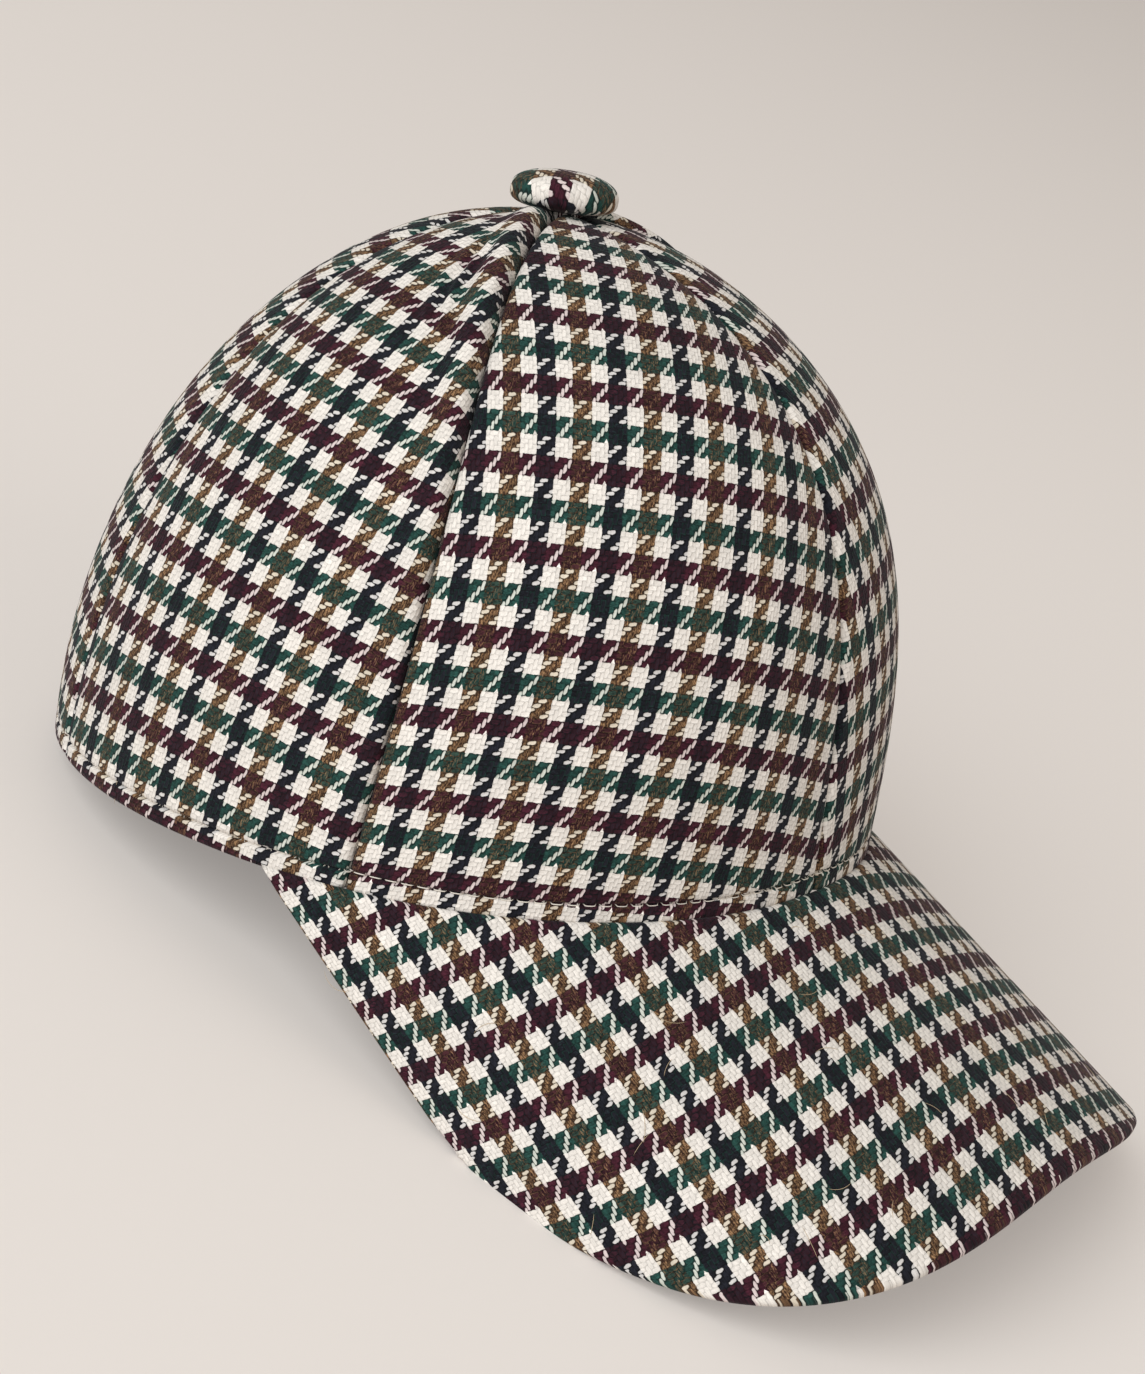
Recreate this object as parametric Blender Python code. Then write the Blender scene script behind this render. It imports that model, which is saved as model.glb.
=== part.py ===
"""A six-panel baseball cap in checked wool cloth, standing by itself on a flat floor.

The shapes are worked out in the cap's own frame, where the hem lies about level: +Z up, the front
at -Y, the wearer's right at -X. The cap is then tipped back until it stands on the low edges of its
brim and on the back of its hem, and moved so that the origin is at the middle of its footprint.
Lengths are metres, and angles are degrees unless a name says otherwise.
"""

import math

import bmesh
import bpy
import numpy as np

# Crown
HEAD_HALF_LENGTH = 0.0945
HEAD_HALF_WIDTH = 0.0860
HEM_SQUARENESS = 2.15
CROWN_HEIGHT = 0.1300
APEX_FORWARD = 0.0048
FRONT_HEM_RISE = 0.0030
WALL = 0.0022
SEAM_GAP = 0.0003
TIP_RING_RADIUS = 0.0045

# Seams, as angles round the hem from the front centre, and how far each leans forward half way up
SEAM_ANGLES = {"front": 0.0, "side": 70.0, "rear": 126.0, "back": 180.0}
SEAM_LEAN = 4.5

# Fullness of the crown's profile: at a height share h the reach share is (1 - h^shoulder)^(1/peak)
PROFILE = {
    # name: (peak, shoulder)
    "front": (1.65, 3.3),
    "side": (2.0, 2.2),
    "back": (2.0, 1.7),
}

# Puff of a panel between its seams, and the ridge that the side panel rolls up beside its front seam
PUFF = 0.0008
SEAM_SINK = 0.0014
PUFF_ALONG = (
    # share of the way up the panel, share of the puff
    (0.00, 0.15),
    (0.15, 0.70),
    (0.50, 1.00),
    (0.85, 0.80),
    (1.00, 0.20),
)
RIDGE_HEIGHT = 0.0032
RIDGE_INSET = 0.0050
RIDGE_WIDTH = 0.0042
RIDGE_ALONG = (
    # share of the way up the panel, share of the ridge's height
    (0.00, 0.00),
    (0.30, 0.15),
    (0.60, 0.80),
    (0.85, 1.00),
    (0.95, 0.70),
    (1.00, 0.00),
)

# Brim
BRIM_END_ANGLE = 81.0
BRIM_WIDEST_ANGLE = 89.0
BRIM_SLOPE = 29.2
BRIM_SIDE_LENGTH = 0.0560
BRIM_REACH = 0.0670
BRIM_SQUARENESS = 3.15
BRIM_THICKNESS = 0.0030
BRIM_EDGE_ROUNDING = 0.0009
BRIM_TUCK = 0.0008
BRIM_CLEARANCE = 0.0003

# Button
BUTTON_RADIUS = 0.0118
BUTTON_HEIGHT = 0.0088
BUTTON_SQUARENESS = 2.4
SHANK_RADIUS = 0.0040
BUTTON_CLEARANCE = 0.0003

# Standing
FLOOR_SINK = 0.0010

# Fineness of the meshes
PANEL_COLUMNS = 12
PANEL_ROWS = 16
MERIDIAN_SAMPLES = 90
OUTLINE_SAMPLES = 200
BRIM_COLUMNS = 36
BRIM_ROWS = 8
BUTTON_SIDES = 24
BUTTON_RINGS = 9

CLOTH = {"colour": (0.62, 0.57, 0.49, 1.0), "roughness": 0.9}
BRIM_CLOTH = {"colour": (0.52, 0.47, 0.41, 1.0), "roughness": 0.9}
BUTTON_CLOTH = {"colour": (0.45, 0.40, 0.36, 1.0), "roughness": 0.9}


def from_table(table, share):
    """Read a two-column table at a share between its rows."""
    places, values = zip(*table)
    return float(np.interp(share, places, values))


def hem_point(angle):
    """Outer edge of the hem at an angle, in radians, from the front centre to the wearer's right."""
    side, front = math.sin(angle), math.cos(angle)
    power = HEM_SQUARENESS
    scale = (abs(side) ** power + abs(front) ** power) ** (-1.0 / power)
    rise = FRONT_HEM_RISE * max(front, 0.0) ** 2
    return np.array([-HEAD_HALF_WIDTH * side * scale, -HEAD_HALF_LENGTH * front * scale, rise])


def profile_powers(angle):
    """Peak and shoulder powers of the profile that rises from the hem at an angle."""
    end = "front" if math.cos(angle) > 0.0 else "back"
    share = math.cos(angle) ** 2
    pairs = zip(PROFILE["side"], PROFILE[end])
    return [side + (other - side) * share for side, other in pairs]


def crown_point(angle, climb):
    """Point of the smooth crown: climb is 0 at the hem and pi/2 at the apex."""
    peak, shoulder = profile_powers(angle)
    reach = math.cos(climb) ** (2.0 / peak)
    height = math.sin(climb) ** (2.0 / shoulder)
    hem = hem_point(angle)
    apex = np.array([0.0, -APEX_FORWARD, CROWN_HEIGHT])
    point = apex + (hem - apex) * reach
    point[2] = hem[2] * (1.0 - height) + CROWN_HEIGHT * height
    return point


def crown_normal(angle, climb):
    """Outward unit normal of the smooth crown."""
    step = 0.01
    low, high = max(climb - step, 1e-4), min(climb + step, math.pi / 2.0 - 1e-4)
    around = crown_point(angle - step, climb) - crown_point(angle + step, climb)
    upward = crown_point(angle, high) - crown_point(angle, low)
    normal = np.cross(around, upward)
    return normal / np.linalg.norm(normal)


def climb_at(angle, rise):
    """Climb at a share of the way, by arc length, from the hem to the ring under the button."""
    climbs = np.linspace(0.0, math.pi / 2.0, MERIDIAN_SAMPLES) ** 1.5
    climbs *= (math.pi / 2.0) / climbs[-1]
    points = np.array([crown_point(angle, climb) for climb in climbs])
    steps = np.linalg.norm(np.diff(points, axis=0), axis=1)
    lengths = np.concatenate([[0.0], np.cumsum(steps)])
    reach = np.hypot(points[:, 0], points[:, 1] + APEX_FORWARD)
    ring_length = float(np.interp(-TIP_RING_RADIUS, -reach, lengths))
    return float(np.interp(rise * ring_length, lengths, climbs))


def seam_angle(hem_angle, rise):
    """Angle of a seam at a share of the way up: seams lean forward between hem and button."""
    lean = math.radians(SEAM_LEAN) * math.sin(hem_angle) * math.sin(math.pi * rise)
    return hem_angle - lean


def puff_height(share, width, rise, has_ridge):
    """Height of the cloth over the smooth crown, at a share of the panel's width from its front seam."""
    arch = math.sin(math.pi * min(max(share, 0.0), 1.0)) ** 0.6
    height = from_table(PUFF_ALONG, rise) * (PUFF * arch - SEAM_SINK * (1.0 - arch))
    if has_ridge:
        inset = min(RIDGE_INSET, width * 0.4)
        spread = min(RIDGE_WIDTH, width * 0.3)
        crest = math.exp(-((share * width - inset) / spread) ** 2)
        foot = math.exp(-(inset / spread) ** 2)
        crest = max(crest - foot, 0.0) / (1.0 - foot)
        height += RIDGE_HEIGHT * from_table(RIDGE_ALONG, rise) * crest
    return height


def panel_sheets(first_seam, last_seam, has_ridge):
    """Outer and inner points of one panel of the wearer's right side, as rows of columns."""
    shares = [0.5 - 0.5 * math.cos(math.pi * i / PANEL_COLUMNS) for i in range(PANEL_COLUMNS + 1)]
    first, last = (math.radians(SEAM_ANGLES[name]) for name in (first_seam, last_seam))
    outer, inner = [], []
    for row in range(PANEL_ROWS + 1):
        rise = row / PANEL_ROWS
        start, end = seam_angle(first, rise), seam_angle(last, rise)
        middle = (start + end) / 2.0
        radius = np.hypot(*(crown_point(middle, climb_at(middle, rise))[:2] + (0.0, APEX_FORWARD)))
        half_gap = SEAM_GAP / 2.0 / radius
        width = (end - start) * radius
        outer_row, inner_row = [], []
        for share in shares:
            angle = start + half_gap + (end - start - 2.0 * half_gap) * share
            climb = climb_at(angle, rise)
            normal = crown_normal(angle, climb)
            point = crown_point(angle, climb) + normal * puff_height(share, width, rise, has_ridge)
            outer_row.append(point)
            if row == 0:
                normal = np.array([normal[0], normal[1], 0.0]) / math.hypot(normal[0], normal[1])
            inner_row.append(point - normal * WALL)
        outer.append(outer_row)
        inner.append(inner_row)
    return outer, inner


def brim_side():
    """Forward distances from the hem's widest line of the brim's hem end and of its widest point."""
    hem_end = -hem_point(math.radians(BRIM_END_ANGLE))[1]
    return hem_end, hem_end + BRIM_SIDE_LENGTH


def brim_outline(side_reach):
    """Forward distance of the brim's outer edge, at a distance to the side of its centre line."""
    share = min(abs(side_reach) / HEAD_HALF_WIDTH, 1.0)
    widest = brim_side()[1]
    tip = HEAD_HALF_LENGTH + BRIM_REACH
    return widest + (tip - widest) * (1.0 - share ** BRIM_SQUARENESS) ** (1.0 / BRIM_SQUARENESS)


def brim_angles():
    """Angles of the brim's columns, spaced evenly along the hem and the outer edge together."""
    fine = math.radians(BRIM_WIDEST_ANGLE) * np.sin(np.linspace(0.0, math.pi / 2.0, OUTLINE_SAMPLES))
    hem = np.array([hem_point(angle)[:2] for angle in fine])
    edge = np.array([(side, brim_outline(side)) for side in hem[:, 0]])
    steps = sum(np.linalg.norm(np.diff(line, axis=0), axis=1) for line in (hem, edge))
    lengths = np.concatenate([[0.0], np.cumsum(steps)])
    half = np.interp(np.linspace(0.0, lengths[-1], BRIM_COLUMNS // 2 + 1), lengths, fine)
    nearest = int(np.argmin(abs(half - math.radians(BRIM_END_ANGLE))))
    half[nearest] = math.radians(BRIM_END_ANGLE)
    return list(-half[:0:-1]) + list(half)


def brim_column(angle):
    """Root, run and upward normal of the straight line that crosses the brim at one hem angle.

    Columns up to BRIM_END_ANGLE start at the hem. The ones past it start on the side edge, which
    leaves the hem there and swells outwards to the brim's widest point.
    """
    slope = math.radians(BRIM_SLOPE)
    ruling = np.array([0.0, -math.cos(slope), -math.sin(slope)])
    step = 0.01
    along = hem_point(angle + step) - hem_point(angle - step)
    normal = np.cross(along, ruling)
    normal /= np.linalg.norm(normal)
    inward = np.array([-along[1], along[0], 0.0]) / math.hypot(along[0], along[1])
    root = hem_point(angle) + inward * BRIM_TUCK
    root[2] -= BRIM_CLEARANCE / math.cos(slope)
    reach = brim_outline(hem_point(angle)[0]) + root[1]
    hem_end, widest = brim_side()
    past_end = (abs(angle) - math.radians(BRIM_END_ANGLE)) / math.radians(90.0 - BRIM_END_ANGLE)
    lead = 0.0
    if past_end > 0.0:
        lead = hem_end + (widest - hem_end) * past_end + root[1]
    root = root + ruling * lead / math.cos(slope)
    return root, ruling * (reach - lead) / math.cos(slope), normal


def brim_sheets():
    """Top and bottom points of the brim, as rows of columns from the hem to the outer edge."""
    columns = [brim_column(angle) for angle in brim_angles()]
    shares = [row / BRIM_ROWS for row in range(BRIM_ROWS + 1)]
    top = [[root + run * share for root, run, normal in columns] for share in shares]
    thick = BRIM_THICKNESS
    bottom = [[root + run * share - normal * thick for root, run, normal in columns] for share in shares]
    return top, bottom


def resting_tilt(points_front, points_back):
    """Angle that tips the cap back until its brim and the back of its hem stand on one level floor."""
    def lowest(points, tilt):
        return min(point[2] * math.cos(tilt) - point[1] * math.sin(tilt) for point in points)

    low, high = 0.0, math.radians(45.0)
    for _ in range(50):
        tilt = (low + high) / 2.0
        if lowest(points_front, tilt) < lowest(points_back, tilt):
            low = tilt
        else:
            high = tilt
    return (low + high) / 2.0


def closed_sheet(name, outer, inner, edge_rounding=0.0):
    """Mesh of a cloth piece: its two faces and the narrow strip that closes them all round."""
    rows, columns = len(outer), len(outer[0])
    mesh = bmesh.new()
    skins = [[[mesh.verts.new(point) for point in row] for row in skin] for skin in (outer, inner)]
    for skin, turned in zip(skins, (False, True)):
        for row in range(rows - 1):
            for column in range(columns - 1):
                lower = skin[row][column:column + 2]
                upper = skin[row + 1][column:column + 2]
                corners = [*lower, *reversed(upper)]
                mesh.faces.new(corners[::-1] if turned else corners)
    border = [(0, column) for column in range(columns)]
    border += [(row, columns - 1) for row in range(1, rows)]
    border += [(rows - 1, column) for column in range(columns - 2, -1, -1)]
    border += [(row, 0) for row in range(rows - 2, 0, -1)]
    middles = {}
    for row, column in border:
        if edge_rounding and row == rows - 1:
            middle = (outer[row][column] + inner[row][column]) / 2.0
            outward = outer[row][column] - outer[row - 1][column]
            middle = middle + outward / np.linalg.norm(outward) * edge_rounding
            middles[row, column] = mesh.verts.new(middle)
    for here, following in zip(border, border[1:] + border[:1]):
        chain = [skins[1][here[0]][here[1]]]
        chain += [middles[here]] if here in middles else []
        chain += [skins[0][here[0]][here[1]], skins[0][following[0]][following[1]]]
        chain += [middles[following]] if following in middles else []
        chain += [skins[1][following[0]][following[1]]]
        mesh.faces.new(chain)
    bmesh.ops.recalc_face_normals(mesh, faces=mesh.faces)
    bmesh.ops.triangulate(mesh, faces=mesh.faces)
    return name, mesh


def mirrored(outer, inner):
    """The same panel on the wearer's left side."""
    flip = np.array([-1.0, 1.0, 1.0])
    return [[[point * flip for point in row[::-1]] for row in skin] for skin in (outer, inner)]


def button_mesh():
    """Covered button: a squashed ball with a flat underside and a shank through the ring of panels."""
    seat = max(point[2] for point in (crown_point(angle, climb_at(angle, 1.0)) for angle in (0.0, math.pi)))
    bottom = seat + BUTTON_CLEARANCE
    waist = BUTTON_HEIGHT * 0.42
    profile = []
    for ring in range(1, BUTTON_RINGS):
        turn = math.pi * (ring / BUTTON_RINGS) - math.pi / 2.0
        power = 2.0 / BUTTON_SQUARENESS
        radius = BUTTON_RADIUS * math.cos(turn) ** power
        half = waist if turn < 0.0 else BUTTON_HEIGHT - waist
        height = waist + half * math.copysign(abs(math.sin(turn)) ** power, turn)
        profile.append((radius, bottom + height))
    profile = [(SHANK_RADIUS, seat - WALL), (SHANK_RADIUS, bottom)] + profile
    mesh = bmesh.new()
    rings = []
    for radius, height in profile:
        turns = [2.0 * math.pi * side / BUTTON_SIDES for side in range(BUTTON_SIDES)]
        rings.append([
            mesh.verts.new((radius * math.cos(turn), -APEX_FORWARD + radius * math.sin(turn), height))
            for turn in turns
        ])
    for lower, upper in zip(rings, rings[1:]):
        for side in range(BUTTON_SIDES):
            after = (side + 1) % BUTTON_SIDES
            mesh.faces.new([lower[side], lower[after], upper[after], upper[side]])
    mesh.faces.new(rings[0][::-1])
    mesh.faces.new(rings[-1])
    bmesh.ops.recalc_face_normals(mesh, faces=mesh.faces)
    bmesh.ops.triangulate(mesh, faces=mesh.faces)
    return "button", mesh


def make_material(name, look):
    """Plain cloth finish."""
    material = bpy.data.materials.new(name)
    material.use_nodes = True
    shader = material.node_tree.nodes["Principled BSDF"]
    shader.inputs["Base Color"].default_value = look["colour"]
    shader.inputs["Roughness"].default_value = look["roughness"]
    shader.inputs["Metallic"].default_value = 0.0
    return material


def stand(meshes, tilt):
    """Tip every piece back, set the cap on the floor, press the cloth flat there and centre it."""
    points = [vert.co for name, mesh in meshes for vert in mesh.verts]
    for point in points:
        y, z = point.y, point.z
        point.y = y * math.cos(tilt) + z * math.sin(tilt)
        point.z = z * math.cos(tilt) - y * math.sin(tilt)
    floor = min(point.z for point in points) + FLOOR_SINK
    middle = (min(point.y for point in points) + max(point.y for point in points)) / 2.0
    for point in points:
        point.y -= middle
        point.z = max(point.z - floor, 0.0)


def add_object(name, mesh, material):
    """Turn a finished mesh into a named object with its own material."""
    data = bpy.data.meshes.new(name)
    mesh.to_mesh(data)
    mesh.free()
    data.materials.append(material)
    data.shade_smooth()
    data.set_sharp_from_angle(angle=math.radians(40.0))
    piece = bpy.data.objects.new(name, data)
    bpy.context.scene.collection.objects.link(piece)


def build_cap():
    """Make the six panels, the brim and the button, and stand them on the floor."""
    meshes = []
    looks = {"brim": BRIM_CLOTH, "button": BUTTON_CLOTH}
    spans = (("front", "front", "side"), ("side", "side", "rear"), ("back", "rear", "back"))
    hem_back = []
    for place, first_seam, last_seam in spans:
        outer, inner = panel_sheets(first_seam, last_seam, has_ridge=place == "side")
        meshes.append(closed_sheet(f"panel_{place}_right", outer, inner))
        meshes.append(closed_sheet(f"panel_{place}_left", *mirrored(outer, inner)))
        hem_back = outer[0] + inner[0]
    top, bottom = brim_sheets()
    meshes.append(closed_sheet("brim", top, bottom, edge_rounding=BRIM_EDGE_ROUNDING))
    meshes.append(button_mesh())
    brim_points = [np.array(vert.co) for vert in meshes[-2][1].verts]
    stand(meshes, resting_tilt(brim_points, hem_back))
    for name, mesh in meshes:
        add_object(name, mesh, make_material(f"{name}_cloth", looks.get(name, CLOTH)))


for old in list(bpy.data.objects):
    bpy.data.objects.remove(old, do_unlink=True)
build_cap()
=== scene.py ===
"""Looks of the checked cloth baseball cap.

The cap's shapes are worked out in its own frame, where the hem lies about level: +Z up, the front at
-Y, the wearer's right at -X. Every point is then tipped back and moved to where the CAD model stands.
Lengths are metres, and angles are degrees unless a name says otherwise. The cloth's own coordinates
count threads: one unit is one thread, warp threads across and weft threads up.
"""

import math

import bpy
import numpy as np
from mathutils import Matrix, Vector


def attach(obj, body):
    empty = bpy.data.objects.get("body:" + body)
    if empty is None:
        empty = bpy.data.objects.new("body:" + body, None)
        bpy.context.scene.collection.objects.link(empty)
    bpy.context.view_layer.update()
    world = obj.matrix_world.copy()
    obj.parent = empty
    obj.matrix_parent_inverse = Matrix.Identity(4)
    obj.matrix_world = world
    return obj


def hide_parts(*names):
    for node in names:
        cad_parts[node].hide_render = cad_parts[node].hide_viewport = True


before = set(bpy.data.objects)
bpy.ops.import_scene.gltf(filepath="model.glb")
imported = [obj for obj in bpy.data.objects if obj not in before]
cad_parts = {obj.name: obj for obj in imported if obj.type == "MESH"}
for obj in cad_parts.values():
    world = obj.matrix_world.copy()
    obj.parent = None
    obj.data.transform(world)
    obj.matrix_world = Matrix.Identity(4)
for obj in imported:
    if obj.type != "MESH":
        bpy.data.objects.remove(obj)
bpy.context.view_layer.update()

# Crown, as in the CAD model
HEAD_HALF_LENGTH = 0.0945
HEAD_HALF_WIDTH = 0.0860
HEM_SQUARENESS = 2.15
CROWN_HEIGHT = 0.1300
APEX_FORWARD = 0.0048
FRONT_HEM_RISE = 0.0030
SEAM_GAP = 0.0002
TIP_RING_RADIUS = 0.0045
SEAM_ANGLES = {"front": 0.0, "side": 70.0, "rear": 126.0, "back": 180.0}
SEAM_LEAN = 4.5
PANELS = (
    # panel, its front seam, its back seam
    ("front", "front", "side"),
    ("side", "side", "rear"),
    ("back", "rear", "back"),
)
PROFILE = {
    # name: (peak, shoulder)
    "front": (1.65, 3.3),
    "side": (2.0, 2.2),
    "back": (2.0, 1.7),
}

# Where the cap stands
TILT = 14.16023
STAND_SHIFT = (0.0, 0.03555044, 0.02208)

# Cloth of the crown
CLOTH_THICKNESS = 0.0013
HEM_THICKNESS = 0.0021
HEM_HEIGHT = 0.0110
ALLOWANCE_WIDTH = 0.0060
ALLOWANCE_THICKNESS = 0.0006
PUFF = 0.0008
PUFF_POWER = 0.6
SEAM_SINK = 0.0014
PUFF_ALONG = (
    # share of the way up the panel, share of the puff
    (0.00, 0.15),
    (0.15, 0.70),
    (0.50, 1.00),
    (0.85, 0.80),
    (1.00, 0.20),
)
SEAM_ROLL = 0.0021
SEAM_ROLL_DEPTH = 0.0019
RIDGE_HEIGHT = 0.0034
RIDGE_INSET = 0.0026
RIDGE_BACK_WIDTH = 0.0070
# Largest shares of the panel's width that the ridge's two sides take where the panel is narrow
RIDGE_SHARES = (0.3, 0.5)
RIDGE_ALONG = (
    # share of the way up the panel, share of the ridge's height
    (0.00, 0.00),
    (0.30, 0.18),
    (0.60, 0.80),
    (0.85, 1.00),
    (0.95, 0.75),
    (1.00, 0.10),
)
PUCKERS = (
    # distance from the seam, width, height, lowest and highest share of the way up the panel
    (0.0088, 0.0014, -0.00050, 0.58, 0.98),
    (0.0108, 0.0008, 0.00060, 0.64, 0.95),
    (0.0126, 0.0010, -0.00055, 0.62, 0.94),
    (0.0148, 0.0010, 0.00045, 0.60, 0.91),
    (0.0172, 0.0013, -0.00040, 0.62, 0.90),
)
# Panel widths where puckers reach full height and full distance, and the least share of the distance
PUCKER_FULL_HEIGHT = 0.030
PUCKER_FULL_DISTANCE = 0.045
PUCKER_LEAST_DISTANCE = 0.3
THICKNESS_STEP = 0.0006
HEM_TURN = 0.0060
EDGE_STEPS = 3
EDGE_BULGE = 0.8
STITCH_LINE = 0.0033
STITCH_GROOVE = 0.00095
STITCH_GROOVE_WIDTH = 0.00034
PANEL_COLUMNS = 72
RIDGE_COLUMNS = 150
HEM_ROWS = (
    # shares of the way up the panel from one row to another, number of rows: close at the topstitching
    (0.0000, 0.0130, 6),
    (0.0130, 0.0220, 14),
    (0.0220, 0.0600, 10),
)
UPPER_ROWS = 92
COLUMN_CROWDING = 0.94
MERIDIAN_SAMPLES = 90
MERIDIAN_CROWDING = 1.5
# Radians between the points that a slope is read from
ANGLE_STEP = 0.01

# Brim, as in the CAD model
BRIM_END_ANGLE = 81.0
BRIM_WIDEST_ANGLE = 89.0
BRIM_SLOPE = 29.2
BRIM_SIDE_LENGTH = 0.0560
BRIM_REACH = 0.0670
BRIM_SQUARENESS = 3.15
BRIM_THICKNESS = 0.0030
BRIM_TUCK = 0.0008
BRIM_CLEARANCE = 0.0003
BRIM_COLUMNS = 140
BRIM_ROWS = 44
BRIM_CROWDING = 0.6
OUTLINE_SAMPLES = 400

# Button
BUTTON_RADIUS = 0.0118
BUTTON_HEIGHT = 0.0088
BUTTON_SQUARENESS = 2.4
BUTTON_LOWER_SQUARENESS = 3.0
BUTTON_WAIST = 0.42
BUTTON_DENTS = (
    # share of the radius, dents around, turn in radians
    (0.012, 3.0, 0.6),
    (0.008, 5.0, 2.0),
)
SHANK_RADIUS = 0.0040
SHANK_DEPTH = 0.0022
BUTTON_CLEARANCE = 0.0003
BUTTON_SIDES = 96
BUTTON_RINGS = 40

# How the cloth is cut for each kind of piece: threads counted over its shape, in millimetres
WARP_COUNTS = {
    # piece: (start, across, up, up squared, across times up, across times its size)
    "front": (13.5, 1.160, -0.0850, -0.00046, 0.0, 0.0),
    "side": (6.6, 1.108, -0.0730, -0.00035, 0.0, 0.0),
    "back": (3.0, 1.130, -0.0500, 0.0, 0.0, 0.0),
    "brim": (7.95, 1.014, 0.0, 0.0, 0.00134, 0.00185),
}
WEFT_COUNTS = {
    # piece: (start, up, across, across squared, across times up, up squared)
    "front": (2.0, 1.000, 0.104, 0.00196, 0.0, -0.00047),
    "side": (6.0, 0.892, 0.026, 0.00161, 0.00163, 0.00023),
    "back": (4.0, 0.930, 0.030, 0.00160, 0.00100, 0.0),
    "brim": (15.6, 0.983, 0.0, 0.00212, 0.0, 0.0),
}
BRIM_DRAW = 0.0000283
BUTTON_THREADS = 1.08
BUTTON_STRETCH = 0.018
BUTTON_STRETCH_END = 24.0
BUTTON_CLOTH_TURN = 0.5
BUTTON_CLOTH_CENTRE = (3.5, 6.0)

# How threads wander and swell, in threads
WOBBLE_SCALE = 1.1
WOBBLE = 0.5
WOBBLE_APART = 71.3
DARK_SWELL = 0.11

# Flecks of the fibres: how close they are across and along a thread, and the steps that give each warp
# thread, each weft thread and the two kinds flecks of their own
FLECK_SCALE = 1.6
FLECK_STRETCH = (2.2, 0.8)
FLECK_APART = (3.7, 5.3, 40.0)
# Ranges of the flecks' level: from, to, and the values that these two become, where they aren't 0 and 1
BROWN_FLECKS = (0.42, 0.66)
CROSSING_FLECKS = (0.42, 0.60, 1.3, 0.4)
FIBRE_FLECKS = (0.36, 0.64)

# A float is the stretch of a thread that shows, in threads: plain, and how far that changes where a
# cream thread is squeezed over a dark one
FLOAT_HALF_WIDTH = (0.50, -0.12)
FLOAT_HALF_LENGTH = (1.02, -0.20)
FLOAT_LEAN = (-0.10, -0.12)
WEFT_LEAN = 0.8
FLOAT_ROUNDNESS = 2.6
# Levels between which a float fades into the painted shade of the gap beside it, and how far they move on a
# dark crossing
FLOAT_FADE = (0.70, 1.25)
DARK_FADE_SHIFT = -0.30
CROSSINGS = {
    # thread on top: share of the thread below that shows, where it crosses maroon, green or brown
    "warp": (0.50, 0.02, 0.80),
    "weft": (0.36, 1.80, 0.16),
}
# Pointed tips of the cream floats: how narrow they are, and from where to where they fade
TIP_SLOPE = 1.6
TIP_FADE = (0.25, 0.40, 0.92, 0.0)

# Lowest and highest shade of a thread, as factors of its colour
THREAD_SHADES = (0.93, 1.05)
# Shades as factors of a colour: plain, and how far that changes where the thread or crossing is dark
CROSSING_SHADE = (1.0, -0.16)
# Painted shade in the gaps between threads: plain, and how much deeper it is beside a dark thread
GAP_PAINTED_SHADE = (0.76, -0.34)
FIBRE_LOW = (0.88, -0.28)
FIBRE_HIGH = (1.06, 0.34)
SPECKLE = (0.07, 0.42)
# Wide patches of shade: noise from, to, and the shades there
PATCH_SCALE = 0.05
PATCHES = (0.3, 0.7, 0.965, 1.03)
# Relief of the threads and their fibres in the material, with its depth in metres
FLOAT_RELIEF = 0.8
FIBRE_RELIEF = 0.35
BUMP_STRENGTH = 0.55
BUMP_DISTANCE = 0.0003

# Loose and sewn threads
STITCH_LENGTH = 0.0029
STITCH_STEP = 0.0033
STITCH_RADIUS = 0.00013
STITCH_SAMPLES = 7
STITCH_LIFT = 0.00062
STITCH_DIP = 0.00095
STITCH_DIP_POWER = 6
# Columns beside a seam that the topstitching leaves out
STITCH_MARGIN = 2
EDGE_RADIUS = 0.00032
EDGE_LEVEL = 0.80
EDGE_FIRST_ROW = 6
HAIR_SEED = 7
HAIR_COUNTS = {"right": 15, "left": 7, "brim": 30}
HAIR_RADIUS = 0.00005
HAIR_LENGTHS = (0.003, 0.008)
HAIR_BEND = 1.3
HAIR_LIFT = 0.00014
HAIR_SAMPLES = 9
# Rows and columns along a piece's edges that hairs keep clear of
HAIR_MARGIN = 3
# How bluntly threads taper towards their ends
TAPER_POWER = 0.35
# A direction that, with the cloth's own, gives each hair its two axes along the cloth
ASIDE = (0.3, 0.2, 0.9)

# Floor, with the light that it gives off for the soft shadows of a bright room
FLOOR_REACH = 6.0
FLOOR_LIFT = 0.23

LIGHTS = (
    # name, place, target, size, power, colour
    ("key", (-2.75, 0.45, 2.15), (0.0, 0.0, 0.06), 3.4, 120.0, (0.92, 0.97, 1.0)),
    ("fill", (0.2, -2.9, 1.6), (0.0, 0.0, 0.05), 2.6, 18.0, (1.0, 0.95, 0.90)),
    ("low", (-2.7, -1.3, 0.8), (0.0, 0.0, 0.03), 2.0, 11.0, (0.97, 0.97, 1.0)),
)
ROOM_COLOUR = (1.0, 0.935, 0.865, 1.0)
ROOM_STRENGTH = 0.455

# Camera, at the photograph's angle
PICTURE_WIDTH = 1145
CAMERA_PLACE = (-0.45083998, -0.22774753, 0.26897328)
CAMERA_RIGHT = (0.56808951, -0.74822697, 0.34268165)
CAMERA_UP = (0.13579769, 0.49591703, 0.857686)
FOCAL_PIXELS = 2497.5
SENSOR_WIDTH = 36.0


def from_table(table, share):
    """Read a two-column table at shares between its rows."""
    places, values = zip(*table)
    return np.interp(share, places, values)


def hem_points(angle):
    """Outer edge of the hem at angles, in radians, from the front centre to the wearer's right."""
    side, front = np.sin(angle), np.cos(angle)
    power = HEM_SQUARENESS
    scale = (abs(side) ** power + abs(front) ** power) ** (-1.0 / power)
    rise = FRONT_HEM_RISE * np.maximum(front, 0.0) ** 2
    return np.stack([-HEAD_HALF_WIDTH * side * scale, -HEAD_HALF_LENGTH * front * scale, rise], axis=-1)


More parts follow.
